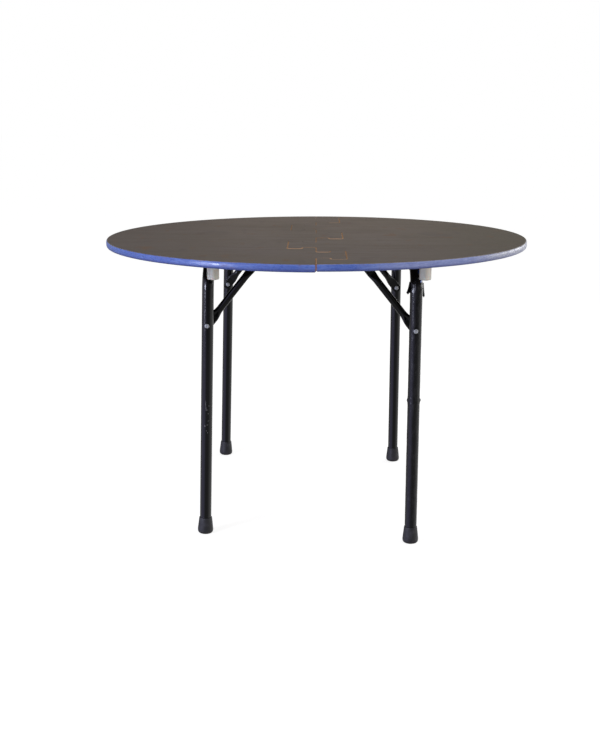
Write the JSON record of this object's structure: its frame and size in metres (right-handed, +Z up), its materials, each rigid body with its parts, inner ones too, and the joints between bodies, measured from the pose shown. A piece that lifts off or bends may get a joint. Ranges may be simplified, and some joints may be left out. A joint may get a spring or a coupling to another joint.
{
  "type": "round folding table",
  "caption": "Round folding table: a stained plywood top locked by jigsaw tabs on bent tube leg frames with braces that fold under it.",
  "frame": {"origin": "on the floor, under the middle of the round top", "axes": "+Z up, +X across the seam of the top to the viewer's right, +Y along the seam away from the viewer"},
  "size_m": [1.15, 1.15, 0.753],
  "materials": {
    "stained_plywood": "matt dark brown-grey stain, blue painted edge",
    "black_enamel": "gloss black enamel",
    "dark_rubber": "moulded",
    "rivet_steel": "plain steel",
    "zinc_steel": "zinc plated",
    "spring_steel": "blued spring steel",
    "grey_nylon": "moulded",
    "white_plastic": "moulded",
    "black_film": "thin shiny film"
  },
  "bodies": {
    "top": {"bearing_pad_front_left": "grey_nylon", "bearing_pad_front_right": "grey_nylon", "bearing_pad_rear_left": "grey_nylon", "bearing_pad_rear_right": "grey_nylon", "bearing_screws_left": "zinc_steel", "bearing_screws_right": "zinc_steel", "bearing_strap_front_left": "zinc_steel", "bearing_strap_front_right": "zinc_steel", "bearing_strap_rear_left": "zinc_steel", "bearing_strap_rear_right": "zinc_steel", "block_screws": "zinc_steel", "catch_bracket_front_left": "zinc_steel", "catch_bracket_front_right": "zinc_steel", "catch_bracket_rear_left": "zinc_steel", "catch_bracket_rear_right": "zinc_steel", "catch_screws_left": "zinc_steel", "catch_screws_right": "zinc_steel", "catch_spring_front_left": "spring_steel", "catch_spring_front_right": "spring_steel", "catch_spring_rear_left": "spring_steel", "catch_spring_rear_right": "spring_steel", "splice_plate_front": "zinc_steel", "splice_plate_middle": "zinc_steel", "splice_plate_rear": "zinc_steel", "splice_screws": "zinc_steel", "stacking_block_front_left": "white_plastic", "stacking_block_front_right": "white_plastic", "stacking_block_rear_left": "white_plastic", "stacking_block_rear_right": "white_plastic", "top_half_left": "stained_plywood", "top_half_right": "stained_plywood"},
    "left_legs": {"brace_rivet_front_left": "rivet_steel", "brace_rivet_rear_left": "rivet_steel", "brace_spacer_front_left": "black_enamel", "brace_spacer_rear_left": "black_enamel", "foot_cap_front_left": "dark_rubber", "foot_cap_rear_left": "dark_rubber", "leg_frame_left": "black_enamel"},
    "right_legs": {"brace_rivet_front_right": "rivet_steel", "brace_rivet_rear_right": "rivet_steel", "brace_spacer_front_right": "black_enamel", "brace_spacer_rear_right": "black_enamel", "film_sleeve_front_right": "black_film", "foot_cap_front_right": "dark_rubber", "foot_cap_rear_right": "dark_rubber", "leg_frame_right": "black_enamel"},
    "front_left_brace": {"brace_front_left": "black_enamel", "brace_pin_front_left": "zinc_steel"},
    "rear_left_brace": {"brace_pin_rear_left": "zinc_steel", "brace_rear_left": "black_enamel"},
    "front_right_brace": {"brace_front_right": "black_enamel", "brace_pin_front_right": "zinc_steel"},
    "rear_right_brace": {"brace_pin_rear_right": "zinc_steel", "brace_rear_right": "black_enamel"}
  },
  "joints": [
    {"name": "left_leg_fold", "type": "hinge", "parent": "top", "child": "left_legs", "pos_m": [-0.271, 0.0305, 0.713], "axis": [0, -1, 0], "range_deg": [0, 88]},
    {"name": "front_left_brace_swing", "type": "hinge", "parent": "left_legs", "child": "front_left_brace", "pos_m": [-0.27543, -0.289, 0.56106], "axis": [0, 1, 0], "range_deg": [0, 144], "deforming": ["catch_spring_front_left"]},
    {"name": "rear_left_brace_swing", "type": "hinge", "parent": "left_legs", "child": "rear_left_brace", "pos_m": [-0.27543, 0.35, 0.56106], "axis": [0, 1, 0], "range_deg": [0, 144], "deforming": ["catch_spring_rear_left"]},
    {"name": "right_leg_fold", "type": "hinge", "parent": "top", "child": "right_legs", "pos_m": [0.2475, -0.0305, 0.713], "axis": [0, 1, 0], "range_deg": [0, 86.4]},
    {"name": "front_right_brace_swing", "type": "hinge", "parent": "right_legs", "child": "front_right_brace", "pos_m": [0.2475, -0.35, 0.561], "axis": [0, -1, 0], "range_deg": [0, 141], "deforming": ["catch_spring_front_right"]},
    {"name": "rear_right_brace_swing", "type": "hinge", "parent": "right_legs", "child": "rear_right_brace", "pos_m": [0.2475, 0.289, 0.561], "axis": [0, -1, 0], "range_deg": [0, 141], "deforming": ["catch_spring_rear_right"]}
  ],
  "couplings": [
    {"joint": "front_left_brace_swing", "follows": "left_leg_fold", "ratio": 1.63},
    {"joint": "rear_left_brace_swing", "follows": "left_leg_fold", "ratio": 1.63},
    {"joint": "front_right_brace_swing", "follows": "right_leg_fold", "ratio": 1.63},
    {"joint": "rear_right_brace_swing", "follows": "right_leg_fold", "ratio": 1.63}
  ]
}
